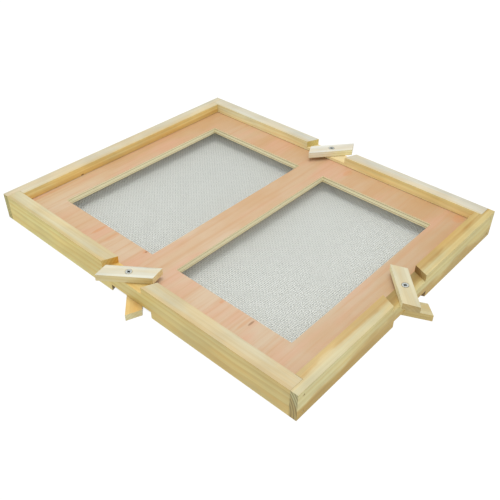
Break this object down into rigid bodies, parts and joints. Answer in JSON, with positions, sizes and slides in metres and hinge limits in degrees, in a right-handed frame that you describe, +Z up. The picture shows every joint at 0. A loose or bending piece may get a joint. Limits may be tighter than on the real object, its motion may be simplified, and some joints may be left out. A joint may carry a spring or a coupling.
{
  "type": "beehive division board",
  "caption": "Wooden hive board with a plywood panel, two screened windows and swivelling entrance blocks above and below.",
  "frame": {"origin": "middle of the whole part's footprint with the gates as they stand at rest, on the surface that the rim lies on", "axes": "+X along the long rails towards the short rail that has a gate, +Y along the short rails, +Z up"},
  "size_m": [0.5366, 0.4618, 0.038],
  "materials": {
    "pine_rail": "planed, bare",
    "pine_block": "planed, bare",
    "plywood": "sanded, bare",
    "wire_mesh": "galvanised woven wire",
    "zinc_screw": "zinc plated",
    "staple_steel": "galvanised",
    "pin_steel": "bright steel"
  },
  "bodies": {
    "root": {"back_lower_screw": "zinc_screw", "back_rail": "pine_rail", "back_upper_screw": "zinc_screw", "corner_pin_1": "pin_steel", "corner_pin_2": "pin_steel", "corner_pin_3": "pin_steel", "corner_pin_4": "pin_steel", "corner_pin_5": "pin_steel", "corner_pin_6": "pin_steel", "corner_pin_7": "pin_steel", "corner_pin_8": "pin_steel", "front_lower_screw": "zinc_screw", "front_rail": "pine_rail", "front_upper_screw": "zinc_screw", "left_screen": "wire_mesh", "left_staple_01": "staple_steel", "left_staple_02": "staple_steel", "left_staple_03": "staple_steel", "left_staple_04": "staple_steel", "left_staple_05": "staple_steel", "left_staple_06": "staple_steel", "left_staple_07": "staple_steel", "left_staple_08": "staple_steel", "left_staple_09": "staple_steel", "left_staple_10": "staple_steel", "left_staple_11": "staple_steel", "left_staple_12": "staple_steel", "left_staple_13": "staple_steel", "left_staple_14": "staple_steel", "plain_rail": "pine_rail", "plywood_panel": "plywood", "right_screen": "wire_mesh", "right_staple_01": "staple_steel", "right_staple_02": "staple_steel", "right_staple_03": "staple_steel", "right_staple_04": "staple_steel", "right_staple_05": "staple_steel", "right_staple_06": "staple_steel", "right_staple_07": "staple_steel", "right_staple_08": "staple_steel", "right_staple_09": "staple_steel", "right_staple_10": "staple_steel", "right_staple_11": "staple_steel", "right_staple_12": "staple_steel", "right_staple_13": "staple_steel", "right_staple_14": "staple_steel", "side_lower_screw": "zinc_screw", "side_rail": "pine_rail", "side_upper_screw": "zinc_screw"},
    "front_upper_block": {"front_upper_block": "pine_block"},
    "front_lower_block": {"front_lower_block": "pine_block"},
    "side_upper_block": {"side_upper_block": "pine_block"},
    "side_lower_block": {"side_lower_block": "pine_block"},
    "back_upper_block": {"back_upper_block": "pine_block"},
    "back_lower_block": {"back_lower_block": "pine_block"}
  },
  "joints": [
    {"name": "front_upper_swivel", "type": "hinge", "parent": "root", "child": "front_upper_block", "pos_m": [-0.01771, -0.19831, 0.0378], "axis": [0, 0, 1], "range_deg": [-37, 103]},
    {"name": "front_lower_swivel", "type": "hinge", "parent": "root", "child": "front_lower_block", "pos_m": [-0.01091, -0.19831, 0.0002], "axis": [0, 0, -1], "range_deg": [-43, 97]},
    {"name": "side_upper_swivel", "type": "hinge", "parent": "root", "child": "side_upper_block", "pos_m": [0.23019, -0.00251, 0.0378], "axis": [0, 0, 1], "range_deg": [-43.5, 96.5]},
    {"name": "side_lower_swivel", "type": "hinge", "parent": "root", "child": "side_lower_block", "pos_m": [0.23019, -0.00251, 0.0002], "axis": [0, 0, -1], "range_deg": [-65, 75]},
    {"name": "back_upper_swivel", "type": "hinge", "parent": "root", "child": "back_upper_block", "pos_m": [-0.01831, 0.19569, 0.0378], "axis": [0, 0, 1], "range_deg": [-51, 89]},
    {"name": "back_lower_swivel", "type": "hinge", "parent": "root", "child": "back_lower_block", "pos_m": [-0.01031, 0.19569, 0.0002], "axis": [0, 0, -1], "range_deg": [-45, 95]}
  ]
}
